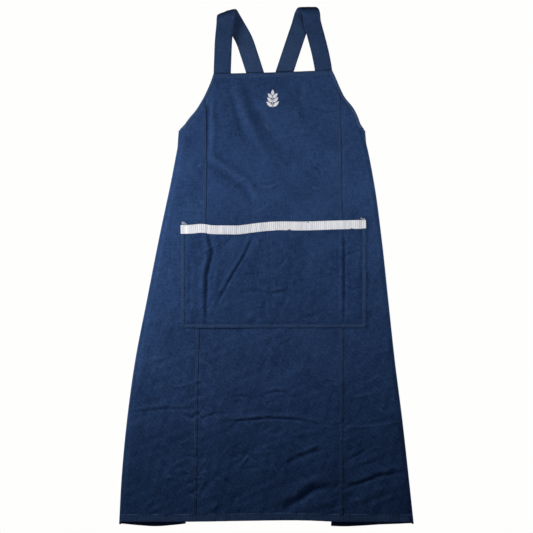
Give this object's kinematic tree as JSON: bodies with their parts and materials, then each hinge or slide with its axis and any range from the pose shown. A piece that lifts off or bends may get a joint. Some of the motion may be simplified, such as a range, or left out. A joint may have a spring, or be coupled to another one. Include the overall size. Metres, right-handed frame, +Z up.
{
  "type": "cross-back work apron",
  "caption": "Cross-back canvas bib apron with a taped double pocket, shoulder loops and wrap-round back panels, hung flat.",
  "frame": {"origin": "on the hanging rail that passes under both shoulder loops, at the garment's middle", "axes": "+X to the right as seen from the front, +Y towards the back, +Z up along the garment"},
  "size_m": [0.6717, 0.0213, 1.1575],
  "materials": {
    "navy_canvas": "washed cotton canvas, matte",
    "strap_canvas": "doubled cotton canvas, matte",
    "hem_canvas": "folded and stitched cotton canvas, matte",
    "navy_thread": "twisted polyester sewing thread",
    "white_tape": "ribbed grosgrain tape",
    "white_print": "flat screen print"
  },
  "bodies": {
    "apron": {"centre_front_panel": "navy_canvas", "left_front_panel": "navy_canvas", "right_front_panel": "navy_canvas", "left_panel_seam": "hem_canvas", "right_panel_seam": "hem_canvas", "bib_hem": "hem_canvas", "left_armhole_hem": "hem_canvas", "right_armhole_hem": "hem_canvas", "front_hem": "hem_canvas", "chest_mark": "white_print", "pocket_panel": "navy_canvas", "pocket_left_border": "hem_canvas", "pocket_right_border": "hem_canvas", "pocket_bottom_border": "hem_canvas", "pocket_divider": "hem_canvas", "pocket_tape": "white_tape", "left_back_panel": "navy_canvas", "right_back_panel": "navy_canvas", "left_side_fold": "navy_canvas", "right_side_fold": "navy_canvas", "left_scoop_hem": "hem_canvas", "right_scoop_hem": "hem_canvas", "left_strap_end": "strap_canvas", "right_strap_end": "strap_canvas", "left_cross_strap": "strap_canvas", "right_cross_strap": "strap_canvas", "left_strap_tack": "navy_thread", "right_strap_tack": "navy_thread"},
    "left_loop": {"left_loop_front": "strap_canvas", "left_loop_crown": "strap_canvas", "left_loop_back": "strap_canvas"},
    "right_loop": {"right_loop_front": "strap_canvas", "right_loop_crown": "strap_canvas", "right_loop_back": "strap_canvas"},
    "left_flap": {"left_back_flap": "navy_canvas", "left_flap_edge": "navy_canvas", "left_flap_hem": "hem_canvas", "left_flap_fold": "navy_canvas"},
    "right_flap": {"right_back_flap": "navy_canvas", "right_flap_edge": "navy_canvas", "right_flap_hem": "hem_canvas", "right_flap_fold": "navy_canvas"}
  },
  "joints": [
    {"name": "left_strap_fold", "type": "hinge", "parent": "apron", "child": "left_loop", "pos_m": [-0.1, -0.008, -0.133], "axis": [1, 0, 0], "range_deg": [-30, 160]},
    {"name": "right_strap_fold", "type": "hinge", "parent": "apron", "child": "right_loop", "pos_m": [0.1, -0.008, -0.133], "axis": [1, 0, 0], "range_deg": [-30, 160]},
    {"name": "left_flap_swing", "type": "hinge", "parent": "apron", "child": "left_flap", "pos_m": [-0.33132, 0, -1], "axis": [0.0877, 0, 0.9961], "range_deg": [0, 100]},
    {"name": "right_flap_swing", "type": "hinge", "parent": "apron", "child": "right_flap", "pos_m": [0.30219, 0, -1], "axis": [0.1092, 0, -0.994], "range_deg": [0, 100]}
  ]
}
